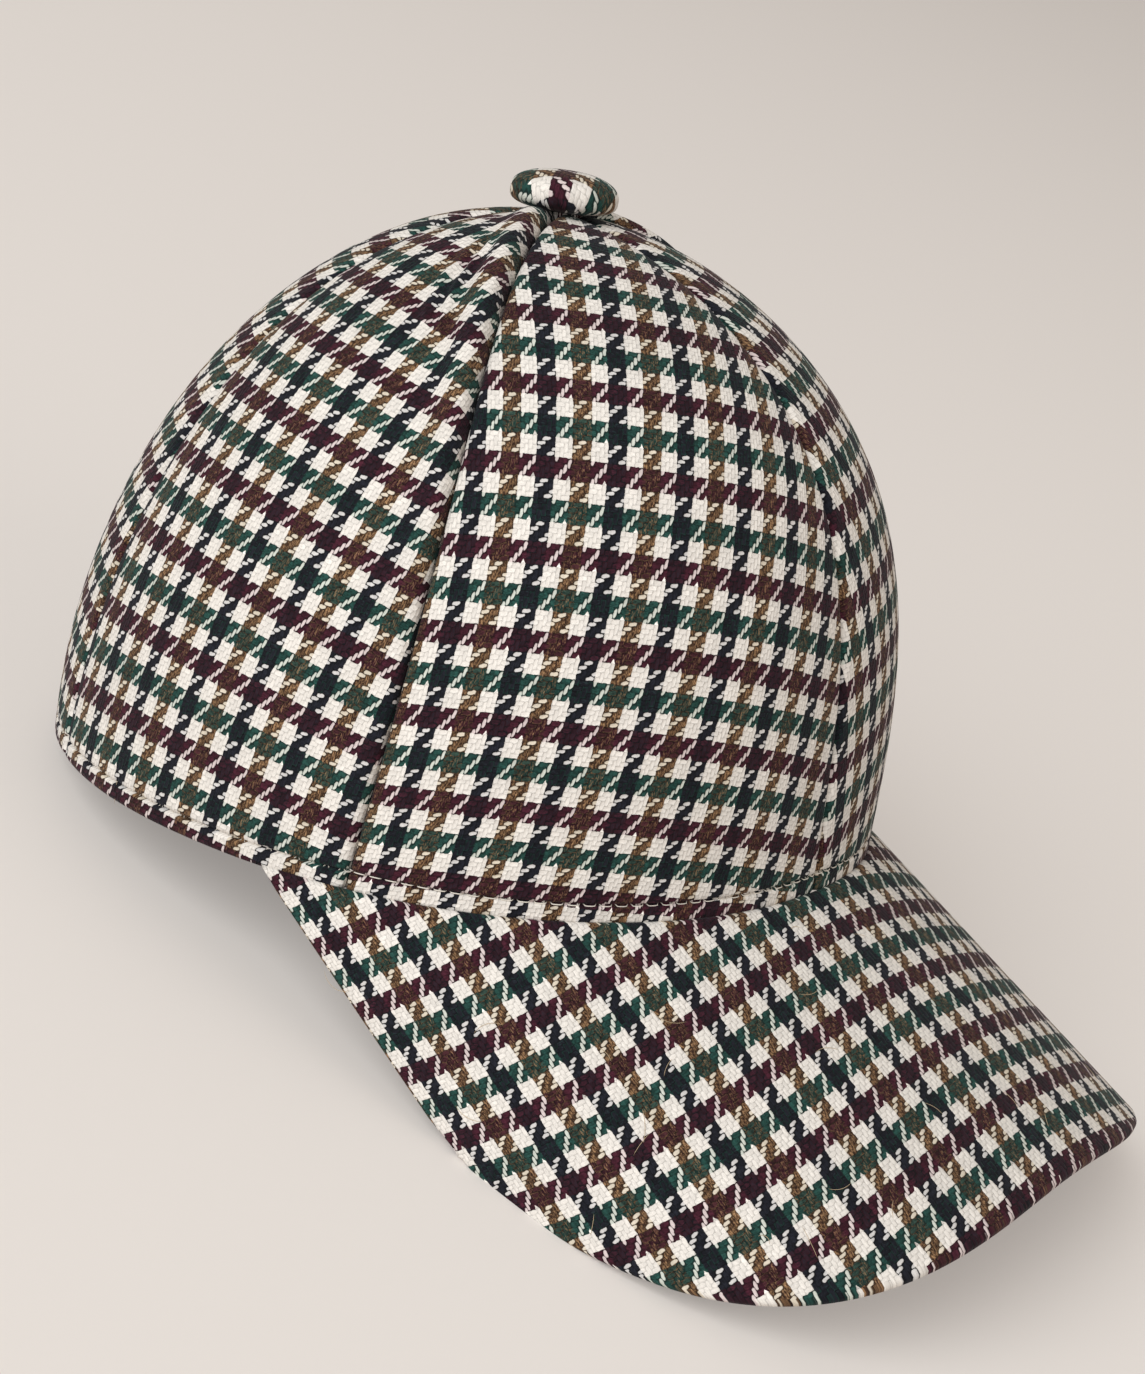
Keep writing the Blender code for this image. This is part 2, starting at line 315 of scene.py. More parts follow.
def crown_points(angle, climb):
    """Points of the smooth crown: climb is 0 at the hem and pi/2 at the apex."""
    angle, climb = np.broadcast_arrays(angle, climb)
    side = np.array(PROFILE["side"])
    end = np.where((np.cos(angle) > 0.0)[..., None], PROFILE["front"], PROFILE["back"])
    powers = side + (end - side) * (np.cos(angle) ** 2)[..., None]
    reach = np.abs(np.cos(climb)) ** (2.0 / powers[..., 0])
    height = np.abs(np.sin(climb)) ** (2.0 / powers[..., 1])
    hem = hem_points(angle)
    apex = np.array([0.0, -APEX_FORWARD, CROWN_HEIGHT])
    points = apex + (hem - apex) * reach[..., None]
    points[..., 2] = hem[..., 2] * (1.0 - height) + CROWN_HEIGHT * height
    return points


def unit(vectors):
    """The same directions at length 1."""
    return vectors / np.maximum(np.linalg.norm(vectors, axis=-1, keepdims=True), 1e-12)


def crown_normals(angle, climb):
    """Outward unit normals of the smooth crown."""
    low = np.maximum(climb - ANGLE_STEP, 1e-4)
    high = np.minimum(climb + ANGLE_STEP, math.pi / 2.0 - 1e-4)
    around = crown_points(angle - ANGLE_STEP, climb) - crown_points(angle + ANGLE_STEP, climb)
    upward = crown_points(angle, high) - crown_points(angle, low)
    return unit(np.cross(around, upward))


def climbs_at(angle, rise):
    """Climbs, and lengths up from the hem, at shares of the way from the hem to the button's ring."""
    shape = np.broadcast(angle, rise).shape
    angle, rise = (np.broadcast_to(value, shape).ravel() for value in (angle, rise))
    climbs = (math.pi / 2.0) * np.linspace(0.0, 1.0, MERIDIAN_SAMPLES) ** MERIDIAN_CROWDING
    points = crown_points(angle[:, None], climbs[None, :])
    steps = np.linalg.norm(np.diff(points, axis=1), axis=2)
    lengths = np.concatenate([np.zeros((len(angle), 1)), np.cumsum(steps, axis=1)], axis=1)
    reach = np.hypot(points[..., 0], points[..., 1] + APEX_FORWARD)
    found, along = np.empty(len(angle)), np.empty(len(angle))
    for place in range(len(angle)):
        ring = np.interp(-TIP_RING_RADIUS, -reach[place], lengths[place])
        along[place] = rise[place] * ring
        found[place] = np.interp(along[place], lengths[place], climbs)
    return found.reshape(shape), along.reshape(shape)


def seam_angles(hem_angle, rise):
    """Angles of a seam at shares of the way up: seams lean forward between hem and button."""
    return hem_angle - math.radians(SEAM_LEAN) * np.sin(hem_angle) * np.sin(math.pi * rise)


def stand(points):
    """Tip points of the cap's frame back, and set them where the CAD model stands on the floor."""
    tilt = math.radians(TILT)
    y, z = points[..., 1], points[..., 2]
    stood = points.copy()
    stood[..., 1] = y * math.cos(tilt) + z * math.sin(tilt)
    stood[..., 2] = z * math.cos(tilt) - y * math.sin(tilt)
    stood += STAND_SHIFT
    stood[..., 2] = np.maximum(stood[..., 2], 0.0)
    return stood


def puff_heights(near, far, width, rise, along, has_ridge):
    """Height of the cloth over the smooth crown, from the distances to the panel's seams and hem."""
    share = near / width
    arch = np.sin(math.pi * np.clip(share, 0.0, 1.0)) ** PUFF_POWER
    height = from_table(PUFF_ALONG, rise) * (PUFF * arch - SEAM_SINK * (1.0 - arch))
    for distance in (near, far):
        rolled = np.clip(1.0 - distance / SEAM_ROLL, 0.0, 1.0)
        height = height - SEAM_ROLL_DEPTH * (1.0 - np.sqrt(1.0 - rolled ** 2))
    height = height - STITCH_GROOVE * np.exp(-((along - STITCH_LINE) / STITCH_GROOVE_WIDTH) ** 2)
    if has_ridge:
        inset = np.minimum(RIDGE_INSET, width * RIDGE_SHARES[0])
        back = np.minimum(RIDGE_BACK_WIDTH, width * RIDGE_SHARES[1])
        roll = np.sqrt(np.clip(1.0 - (1.0 - near / inset) ** 2, 0.0, 1.0))
        slope = np.cos(math.pi / 2.0 * np.clip((near - inset) / back, 0.0, 1.0)) ** 2
        crest = np.where(near < inset, roll, slope)
        height = height + RIDGE_HEIGHT * from_table(RIDGE_ALONG, rise) * crest
        for distance, spread, rise_by, lowest, highest in PUCKERS:
            place = np.clip((rise - lowest) / (highest - lowest), 0.0, 1.0)
            place = np.sin(math.pi * place) * np.clip(width / PUCKER_FULL_HEIGHT, 0.0, 1.0)
            centre = distance * np.clip(width / PUCKER_FULL_DISTANCE, PUCKER_LEAST_DISTANCE, 1.0)
            height = height + rise_by * place * np.exp(-((near - centre) / spread) ** 2)
    return height


def inner_depths(near, far, along):
    """Thickness of the cloth: thicker at the turned hem and at the seam allowances pressed open inside."""
    def step_down(distance, edge):
        return np.clip((edge - distance) / THICKNESS_STEP + 0.5, 0.0, 1.0)

    depth = CLOTH_THICKNESS + (HEM_THICKNESS - CLOTH_THICKNESS) * step_down(along, HEM_HEIGHT)
    strip = np.maximum(step_down(near, ALLOWANCE_WIDTH), step_down(far, ALLOWANCE_WIDTH))
    return depth + ALLOWANCE_THICKNESS * strip * (1.0 - step_down(along, HEM_HEIGHT))


def eased(count, strength):
    """Shares from 0 to 1 that crowd towards both ends."""
    even = np.linspace(0.0, 1.0, count + 1)
    return even * (1.0 - strength) + (0.5 - 0.5 * np.cos(math.pi * even)) * strength


def panel_grids(first_seam, last_seam, has_ridge):
    """Outer and inner points, and flat cloth coordinates in metres, of a panel on the wearer's right."""
    hem_rises = [np.linspace(*rows, endpoint=False) for rows in HEM_ROWS]
    upper_rises = np.linspace(HEM_ROWS[-1][1], 1.0, UPPER_ROWS + 1)
    rise = np.concatenate([*hem_rises, upper_rises])[:, None]
    share = eased(RIDGE_COLUMNS if has_ridge else PANEL_COLUMNS, COLUMN_CROWDING)[None, :]
    first, last = (math.radians(SEAM_ANGLES[name]) for name in (first_seam, last_seam))
    start, end = seam_angles(first, rise), seam_angles(last, rise)
    middle = (start + end) / 2.0
    centre = crown_points(middle, climbs_at(middle, rise)[0])
    radius = np.hypot(centre[..., 0], centre[..., 1] + APEX_FORWARD)
    half_gap = SEAM_GAP / 2.0 / radius
    angle = start + half_gap + (end - start - 2.0 * half_gap) * share
    climb, along = climbs_at(angle, rise + np.zeros_like(share))
    smooth, normal = crown_points(angle, climb), crown_normals(angle, climb)
    steps = np.linalg.norm(np.diff(smooth, axis=1), axis=2)
    across = np.concatenate([np.zeros((len(rise), 1)), np.cumsum(steps, axis=1)], axis=1)
    width = across[:, -1:]
    near, far = across, width - across
    outer = smooth + normal * puff_heights(near, far, width, rise, along, has_ridge)[..., None]
    level = unit(normal * (1.0, 1.0, 0.0))
    blend = np.clip(along / HEM_TURN, 0.0, 1.0)[..., None]
    inward = unit(level * (1.0 - blend) + normal * blend)
    inner = outer - inward * inner_depths(near, far, along)[..., None]
    # The ridge takes up more cloth than the smooth crown
    extra = np.linalg.norm(np.diff(outer, axis=1), axis=2) - steps if has_ridge else np.zeros_like(steps)
    extra = np.concatenate([np.cumsum(extra[:, ::-1], axis=1)[:, ::-1], np.zeros((len(rise), 1))], axis=1)
    flat = np.stack([width / 2.0 - across + extra, along], axis=-1)
    return outer, inner, flat


def edge_rows(outer, inner, outward):
    """Rows that round off an edge between the last outer and inner points."""
    middle, half = (outer + inner) / 2.0, (outer - inner) / 2.0
    bulge = np.linalg.norm(half, axis=-1, keepdims=True) * outward * EDGE_BULGE
    turns = [math.pi * (step + 1) / (EDGE_STEPS + 1) for step in range(EDGE_STEPS)]
    return [middle + half * math.cos(turn) + bulge * math.sin(turn) for turn in turns]


def make_mesh(name, outer, inner, threads):
    """Mesh of a cloth piece: outer and inner faces, closed by rounded strips along all four edges."""
    rows, columns = outer.shape[:2]
    border = [(0, column) for column in range(columns)]
    border += [(row, columns - 1) for row in range(1, rows)]
    border += [(rows - 1, column) for column in range(columns - 2, -1, -1)]
    border += [(row, 0) for row in range(rows - 2, 0, -1)]
    border = np.array(border)
    last = np.array([rows - 1, columns - 1])
    at_end = (border == 0) | (border == last)
    step_in = border + np.sign(last / 2.0 - border).astype(int) * at_end
    edge_out, edge_in = outer[border[:, 0], border[:, 1]], inner[border[:, 0], border[:, 1]]
    outward = unit(edge_out - outer[step_in[:, 0], step_in[:, 1]])
    edge_threads = threads[border[:, 0], border[:, 1]]
    grid = np.arange(rows * columns).reshape(rows, columns)
    points = [outer.reshape(-1, 3), inner.reshape(-1, 3)]
    places = [threads.reshape(-1, 2), threads.reshape(-1, 2)]
    quads = [
        np.stack([grid[:-1, :-1], grid[:-1, 1:], grid[1:, 1:], grid[1:, :-1]], axis=-1).reshape(-1, 4),
        np.stack([grid[:-1, :-1], grid[1:, :-1], grid[1:, 1:], grid[:-1, 1:]], axis=-1).reshape(-1, 4)
        + rows * columns,
    ]
    ids = [grid[border[:, 0], border[:, 1]]]
    count = 2 * rows * columns
    for strip in edge_rows(edge_out, edge_in, outward):
        points.append(strip)
        places.append(edge_threads)
        ids.append(np.arange(count, count + len(border)))
        count += len(border)
    ids.append(grid[border[:, 0], border[:, 1]] + rows * columns)
    for upper, lower in zip(ids, ids[1:]):
        after_upper, after_lower = np.roll(upper, -1), np.roll(lower, -1)
        quads.append(np.stack([upper, lower, after_lower, after_upper], axis=-1))
    return build_object(name, np.concatenate(points), np.concatenate(quads), np.concatenate(places))


def build_object(name, points, quads, threads=None, ends=()):
    """Object in the CAD's place from points of the cap's frame, quads, end faces and thread coordinates."""
    data = bpy.data.meshes.new(name)
    data.from_pydata(stand(points).tolist(), [], quads.tolist() + list(ends))
    if threads is not None:
        layer = data.uv_layers.new(name="threads")
        layer.uv.foreach_set("vector", threads[quads.ravel()].astype(np.float32).ravel())
    data.shade_smooth()
    data.validate()
    data.update()
    piece = bpy.data.objects.new(name, data)
    bpy.context.scene.collection.objects.link(piece)
    return piece


def threads_of(cut, flat, mirrored=False):
    """Thread coordinates of flat cloth coordinates: which warp and which weft thread lies at each point."""
    across, up = flat[..., 0] * 1000.0, flat[..., 1] * 1000.0
    side = -1.0 if mirrored else 1.0
    start, per_across, per_up, per_up_squared, both, swell = WARP_COUNTS[cut]
    warp = start + across * (per_across + both * up + swell * np.abs(across))
    warp = warp + side * (per_up * up + per_up_squared * up ** 2)
    start, per_up, per_across, per_across_squared, both, per_up_squared = WEFT_COUNTS[cut]
    weft = start + up * (per_up + per_up_squared * up) + side * across * (per_across + both * up)
    weft = weft + per_across_squared * across ** 2
    if cut == "brim":
        weft = weft - BRIM_DRAW * np.abs(across) ** 3
    return np.stack([warp, weft], axis=-1)


def brim_hem_end():
    """Forward distance of the hem where the brim's sides end."""
    return -hem_points(np.array(math.radians(BRIM_END_ANGLE)))[1]


def brim_outline(side_reach):
    """Forward distance of the brim's outer edge, at distances to the side of its centre line."""
    share = np.minimum(np.abs(side_reach) / HEAD_HALF_WIDTH, 1.0)
    widest = brim_hem_end() + BRIM_SIDE_LENGTH
    tip = HEAD_HALF_LENGTH + BRIM_REACH
    return widest + (tip - widest) * (1.0 - share ** BRIM_SQUARENESS) ** (1.0 / BRIM_SQUARENESS)


def brim_columns():
    """Straight lines that cross the brim, from left to right.

    Gives their roots, runs and upward normals, their one direction, and the cloth's length across them.
    """
    fine = math.radians(BRIM_WIDEST_ANGLE) * np.sin(np.linspace(0.0, math.pi / 2.0, OUTLINE_SAMPLES))
    hem = hem_points(fine)[:, :2]
    edge = np.stack([hem[:, 0], brim_outline(hem[:, 0])], axis=-1)
    steps = sum(np.linalg.norm(np.diff(line, axis=0), axis=1) for line in (hem, edge))
    lengths = np.concatenate([[0.0], np.cumsum(steps)])
    half = np.interp(np.linspace(0.0, lengths[-1], BRIM_COLUMNS // 2 + 1), lengths, fine)
    angle = np.concatenate([-half[:0:-1], half])
    slope = math.radians(BRIM_SLOPE)
    ruling = np.array([0.0, -math.cos(slope), -math.sin(slope)])
    along = hem_points(angle + ANGLE_STEP) - hem_points(angle - ANGLE_STEP)
    normal = unit(np.cross(along, ruling))
    inward = unit(np.stack([-along[:, 1], along[:, 0], np.zeros(len(angle))], axis=-1))
    root = hem_points(angle) + inward * BRIM_TUCK
    root[:, 2] -= BRIM_CLEARANCE / math.cos(slope)
    reach = brim_outline(hem_points(angle)[:, 0]) + root[:, 1]
    past_end = (np.abs(angle) - math.radians(BRIM_END_ANGLE)) / math.radians(90.0 - BRIM_END_ANGLE)
    lead = np.where(past_end > 0.0, brim_hem_end() + BRIM_SIDE_LENGTH * past_end + root[:, 1], 0.0)
    root = root + ruling * lead[:, None] / math.cos(slope)
    # The hem as seen along the lines, whose length is the cloth's width there
    seen = hem_points(angle)
    seen = seen - (seen @ ruling)[:, None] * ruling
    across = np.concatenate([[0.0], np.cumsum(np.linalg.norm(np.diff(seen, axis=0), axis=1))])
    across = across[len(across) // 2] - across
    return root, ruling * (reach - lead)[:, None] / math.cos(slope), normal, ruling, across


def brim_grids():
    """Top and bottom points and flat cloth coordinates of the brim, in rows from the hem outwards."""
    root, run, normal, ruling, across = brim_columns()
    share = eased(BRIM_ROWS, BRIM_CROWDING)[:, None, None]
    top = root + run * share
    flat = np.stack([np.broadcast_to(across, top.shape[:2]), -(top @ ruling)], axis=-1)
    return top, top - normal * BRIM_THICKNESS, flat


def button_profile():
    """Radii and heights of the button's rings, from the foot of its shank to its top."""
    seat = max(float(crown_points(angle, climbs_at(np.array(angle), np.array(1.0))[0])[..., 2])
               for angle in (0.0, math.pi))
    bottom = seat + BUTTON_CLEARANCE
    waist = BUTTON_HEIGHT * BUTTON_WAIST
    turn = math.pi * np.arange(1, BUTTON_RINGS) / BUTTON_RINGS - math.pi / 2.0
    power = 2.0 / np.where(turn < 0.0, BUTTON_LOWER_SQUARENESS, BUTTON_SQUARENESS)
    half = np.where(turn < 0.0, waist, BUTTON_HEIGHT - waist)
    radius = BUTTON_RADIUS * np.cos(turn) ** power
    height = waist + half * np.sign(turn) * np.abs(np.sin(turn)) ** power
    radius = np.concatenate([[SHANK_RADIUS, SHANK_RADIUS], radius])
    return radius, np.concatenate([[seat - SHANK_DEPTH, bottom], bottom + height])


def make_button():
    """Cloth-covered button on its shank, with its cloth drawn down over the edge."""
    radius, height = button_profile()
    around = 2.0 * math.pi * np.arange(BUTTON_SIDES) / BUTTON_SIDES
    dent = 1.0 + sum(depth * np.sin(count * around + turn) for depth, count, turn in BUTTON_DENTS)
    reach = radius[:, None] * dent
    points = np.stack([
        reach * np.cos(around),
        reach * np.sin(around) - APEX_FORWARD,
        np.broadcast_to(height[:, None], reach.shape),
    ], axis=-1)
    steps = np.hypot(np.diff(radius), np.diff(height)) * 1000.0
    down = np.concatenate([np.cumsum(steps[::-1])[::-1], [0.0]]) + radius[-1] * 1000.0
    stretch = 1.0 - BUTTON_STRETCH * np.minimum(down, BUTTON_STRETCH_END)
    down = (down * stretch * BUTTON_THREADS)[:, None]
    turned = around - BUTTON_CLOTH_TURN
    threads = np.stack([down * np.cos(turned), down * np.sin(turned)], axis=-1) + BUTTON_CLOTH_CENTRE
    rings = len(radius)
    grid = np.arange(rings * BUTTON_SIDES).reshape(rings, BUTTON_SIDES)
    after = np.roll(grid, -1, axis=1)
    quads = np.stack([grid[:-1], after[:-1], after[1:], grid[1:]], axis=-1).reshape(-1, 4)
    points = points.reshape(-1, 3)
    threads = threads.reshape(-1, 2)
    caps = []
    for ring, flip in ((0, True), (rings - 1, False)):
        centre = points[grid[ring]].mean(axis=0)
        points = np.vstack([points, centre])
        threads = np.vstack([threads, BUTTON_CLOTH_CENTRE])
        for side in range(0, BUTTON_SIDES, 2):
            corners = [len(points) - 1, *(grid[ring][(side + step) % BUTTON_SIDES] for step in range(3))]
            caps.append(corners[::-1] if flip else corners)
    return build_object("button_cloth", points, np.concatenate([quads, np.array(caps)]), threads)


class Nodes:
    """Short way to write a material's nodes as sums and products."""

    def __init__(self, tree):
        self.tree = tree

    def add(self, kind, **settings):
        """New node with its settings."""
        node = self.tree.nodes.new(kind)
        for name, value in settings.items():
            setattr(node, name, value)
        return node

    def link(self, value, socket):
        """Feed a socket from another one or from a plain value."""
        if isinstance(value, bpy.types.NodeSocket):
            self.tree.links.new(value, socket)
        else:
            socket.default_value = value

    def math(self, operation, *values):
        """Result of a node that counts."""
        node = self.add("ShaderNodeMath", operation=operation)
        for value, socket in zip(values, node.inputs):
            self.link(value, socket)
        return node.outputs[0]

    def product(self, first, *others):
        """Product of two values or more."""
        for value in others:
            first = self.math("MULTIPLY", first, value)
        return first

    def line(self, value, slope, start):
        """The value times a slope, plus a start."""
        return self.math("MULTIPLY_ADD", value, slope, start)

    def changed(self, share, pair):
        """First number of a pair, changed by a share of the second."""
        return self.line(share, pair[1], pair[0])

    def mix(self, share, first, second, blend="MIX"):
        """Colour between two colours, or their product."""
        node = self.add("ShaderNodeMix", data_type="RGBA", blend_type=blend)
        self.link(share, node.inputs[0])
        self.link(first, node.inputs[6])
        self.link(second, node.inputs[7])
        return node.outputs[2]

    def shaded(self, colour, shade):
        """Colour times a grey shade."""
        return self.mix(1.0, colour, self.combine(shade, shade, shade), "MULTIPLY")

    def combine(self, x, y, z=0.0):
        """Vector of three values."""
        node = self.add("ShaderNodeCombineXYZ")
        for value, socket in zip((x, y, z), node.inputs):
            self.link(value, socket)
        return node.outputs[0]

    def noise(self, vector, scale, detail=2.0, roughness=0.5):
        """Smooth noise from 0 to 1 at a place."""
        node = self.add("ShaderNodeTexNoise", noise_dimensions="3D")
        self.link(vector, node.inputs["Vector"])
        for name, value in (("Scale", scale), ("Detail", detail), ("Roughness", roughness)):
            node.inputs[name].default_value = value
        return node.outputs["Fac"]

    def random(self, value, seed):
        """Random number from 0 to 1 that goes with a pair of values."""
        node = self.add("ShaderNodeTexWhiteNoise", noise_dimensions="2D")
        self.link(self.combine(value, seed), node.inputs["Vector"])
        return node.outputs["Value"]

    def remap(self, value, low, high, to_low=0.0, to_high=1.0):
        """The value's place between low and high, clamped, as a place in another range."""
        node = self.add("ShaderNodeMapRange", clamp=True)
        self.link(value, node.inputs[0])
        for place, number in enumerate((low, high, to_low, to_high)):
            self.link(number, node.inputs[place + 1])
        return node.outputs[0]


def linear(red, green, blue):
    """Scene colour of an sRGB colour from 0 to 255."""
    def one(value):
        value = value / 255.0
        return value / 12.92 if value <= 0.04045 else ((value + 0.055) / 1.055) ** 2.4
    return (one(red), one(green), one(blue), 1.0)


COLOURS = {
    "cream": linear(218, 211, 203),
    "navy": linear(25, 26, 33),
    "maroon": linear(58, 23, 34),
    "green": linear(31, 62, 56),
    "brown_dark": linear(58, 38, 28),
    "brown_light": linear(132, 102, 72),
    "sewing_thread": linear(208, 200, 188),
    "hair": linear(186, 164, 132),
    "floor": linear(193, 186, 180),
    "floor_lift": linear(255, 248, 243),
}
# How thin cream threads look where they lie over each dark thread
TINTS = {
    "navy": (0.80, 0.82, 0.86, 1.0),
    "maroon": (0.84, 0.76, 0.80, 1.0),
    "green": (0.76, 0.84, 0.81, 1.0),
    "brown": (0.86, 0.81, 0.71, 1.0),
}


def weave_material(name):
    """Houndstooth in a two-and-two twill: four dark threads and four cream ones, both ways."""
    material = bpy.data.materials.new(name)
    material.use_nodes = True
    tree = material.node_tree
    shader = tree.nodes["Principled BSDF"]
    n = Nodes(tree)
    place = n.add("ShaderNodeUVMap", uv_map="threads").outputs[0]
    split = n.add("ShaderNodeSeparateXYZ")
    n.link(place, split.inputs[0])
    flat_u, flat_v = split.outputs[0], split.outputs[1]
    wobble_u = n.noise(place, WOBBLE_SCALE)
    wobble_v = n.noise(n.combine(n.math("ADD", flat_u, WOBBLE_APART), flat_v), WOBBLE_SCALE)

    def threads(value, wobble):
        """Thread coordinate that wanders, with more room for the thick dark threads than for the cream."""
        value = n.line(n.math("SUBTRACT", wobble, 0.5), WOBBLE, value)
        turn = n.product(n.math("SUBTRACT", value, 2.0), math.pi / 4.0)
        return n.line(n.math("SINE", turn), DARK_SWELL, value)

    def off_middle(value, index):
        """Distance from the middle of a thread, from -0.5 to 0.5."""
        return n.math("SUBTRACT", n.math("SUBTRACT", value, index), 0.5)

    def along_float(value):
        """Place along a float from -1 to 1 where its thread is on top, and more where it is under."""
        return n.math("SUBTRACT", n.math("FLOORED_MODULO", n.math("ADD", value, 1.0), 4.0), 1.0)

    u, v = threads(flat_u, wobble_u), threads(flat_v, wobble_v)
    warp, weft = n.math("FLOOR", u), n.math("FLOOR", v)
    off_warp, off_weft = off_middle(u, warp), off_middle(v, weft)
    along_warp = along_float(n.math("SUBTRACT", v, warp))
    along_weft = along_float(n.math("SUBTRACT", u, n.math("ADD", weft, 3.0)))
    warp_shows = n.math("LESS_THAN", along_warp, 1.0)
    weft_shows = n.math("SUBTRACT", 1.0, warp_shows)

    def pick(of_warp, of_weft):
        """Value of the thread on top."""
        return n.math("ADD", n.product(of_warp, warp_shows), n.product(of_weft, weft_shows))

    along, off = pick(along_warp, along_weft), pick(off_warp, off_weft)
    per_warp, per_weft, apart = FLECK_APART
    fleck_place = n.combine(n.product(off, FLECK_STRETCH[0]), n.product(along, FLECK_STRETCH[1]),
                            pick(n.product(warp, per_warp), n.line(weft, per_weft, apart)))
    fleck = n.noise(fleck_place, FLECK_SCALE, detail=3.0, roughness=0.65)
    brown = n.mix(n.remap(fleck, *BROWN_FLECKS), COLOURS["brown_dark"], COLOURS["brown_light"])

    def thread_colour(index, second, third, seed):
        """A thread's colour, whether it is dark and whether it is of the third colour.

        The threads go in fours: cream, of the second colour, cream and of the third colour.
        """
        middle = n.math("ADD", index, 0.5)
        dark = n.math("GREATER_THAN", n.math("FLOORED_MODULO", middle, 8.0), 4.0)
        other = n.math("GREATER_THAN", n.math("FLOORED_MODULO", middle, 16.0), 8.0)
        colour = n.mix(dark, COLOURS["cream"], n.mix(other, second, third))
        return n.shaded(colour, n.remap(n.random(index, seed), 0.0, 1.0, *THREAD_SHADES)), dark, other

    warp_colour, warp_dark, warp_third = thread_colour(warp, COLOURS["navy"], brown, seed=3.0)
    weft_colour, weft_dark, weft_third = thread_colour(weft, COLOURS["maroon"], COLOURS["green"], seed=11.0)
    top_colour = n.mix(warp_shows, weft_colour, warp_colour)
    under_colour = n.mix(warp_shows, warp_colour, weft_colour)
    top_dark, under_dark = pick(warp_dark, weft_dark), pick(weft_dark, warp_dark)
    both_dark = n.product(top_dark, under_dark)
    squeezed = n.product(n.math("SUBTRACT", 1.0, top_dark), under_dark)
    lean = n.product(along, n.changed(squeezed, FLOAT_LEAN))
    leant = n.line(lean, pick(1.0, WEFT_LEAN), off)

    def rounded(value, half):
        """Share of the way from a float's middle to its edge, which stays low until near the edge."""
        return n.math("POWER", n.math("DIVIDE", n.math("ABSOLUTE", value), half), FLOAT_ROUNDNESS)

    edge = n.math("ADD", rounded(leant, n.changed(squeezed, FLOAT_HALF_WIDTH)),
                  rounded(along, n.changed(squeezed, FLOAT_HALF_LENGTH)))
    fade = [n.line(both_dark, DARK_FADE_SHIFT, level) for level in FLOAT_FADE]
    solid = n.remap(edge, *fade, 1.0, 0.0)

    def crossing(of_maroon, of_green, of_brown):
        """How much of the thread below shows through, by the dark threads that cross."""
        over_navy = n.line(weft_third, of_green - of_maroon, of_maroon)
        return n.remap(warp_third, 0.0, 1.0, over_navy, of_brown)

    seen_under = pick(crossing(*CROSSINGS["warp"]), crossing(*CROSSINGS["weft"]))
    seen_under = n.product(seen_under, both_dark, n.remap(fleck, *CROSSING_FLECKS))
    mixed = n.mix(seen_under, top_colour, under_colour)
    tint = n.mix(warp_shows, n.mix(warp_third, TINTS["navy"], TINTS["brown"]),
                 n.mix(weft_third, TINTS["maroon"], TINTS["green"]))
    mixed = n.mix(squeezed, mixed, n.mix(1.0, mixed, tint, "MULTIPLY"))
    mixed = n.shaded(mixed, n.changed(both_dark, CROSSING_SHADE))
    # Painted shade in the gaps between floats: the thread below shows there, darkened, and darker still
    # beside a dark thread
    gap_painted_shade = n.changed(n.math("MAXIMUM", top_dark, under_dark), GAP_PAINTED_SHADE)
    shaded_gap_colour = n.shaded(n.mix(under_dark, mixed, under_colour), gap_painted_shade)
    colour = n.mix(solid, shaded_gap_colour, mixed)

    def is_thread(index, number):
        """1 on one thread of each eight."""
        turn = n.math("FLOORED_MODULO", n.math("ADD", index, 0.5), 8.0)
        return n.math("COMPARE", turn, number + 0.5, 0.3)

    # Pointed tip of the last cream warp thread over the first dark weft thread
    tip = n.math("ADD", n.product(n.math("ABSOLUTE", off_warp), TIP_SLOPE), off_weft)
    tip = n.product(n.remap(tip, *TIP_FADE), is_thread(warp, 3.0), is_thread(weft, 4.0))
    colour = n.mix(tip, colour, COLOURS["cream"])
    fibres = n.remap(fleck, *FIBRE_FLECKS, n.changed(top_dark, FIBRE_LOW), n.changed(top_dark, FIBRE_HIGH))
    patches = n.remap(n.noise(place, PATCH_SCALE), *PATCHES)
    speckle = n.math("SUBTRACT", n.random(warp, weft), 0.5)
    speckle = n.line(speckle, n.changed(top_dark, SPECKLE), 1.0)
    colour = n.shaded(colour, n.product(fibres, patches, speckle))
    high = n.math("SQRT", n.math("MAXIMUM", n.math("SUBTRACT", 1.0, n.product(edge, FLOAT_RELIEF)), 0.0))
    n.link(colour, shader.inputs["Base Color"])
    shader.inputs["Roughness"].default_value = 0.9
    shader.inputs["Specular IOR Level"].default_value = 0.15
    shader.inputs["Sheen Weight"].default_value = 0.05
    shader.inputs["Sheen Roughness"].default_value = 0.4
    bump = n.add("ShaderNodeBump")
    bump.inputs["Strength"].default_value = BUMP_STRENGTH
    bump.inputs["Distance"].default_value = BUMP_DISTANCE
    n.link(n.line(fleck, FIBRE_RELIEF, high), bump.inputs["Height"])
    n.link(bump.outputs[0], shader.inputs["Normal"])
    return material


def plain_material(name, colour, roughness):
    """Material of one colour."""
    material = bpy.data.materials.new(name)
    material.use_nodes = True
    shader = material.node_tree.nodes["Principled BSDF"]
    shader.inputs["Base Color"].default_value = colour
    shader.inputs["Roughness"].default_value = roughness
    return material


def dress(piece, node, material):
    """Give a piece its material, its body, and the solid that it replaces, if any."""
    piece.data.materials.append(material)
    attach(piece, "root")
    if node:
        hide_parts(node)


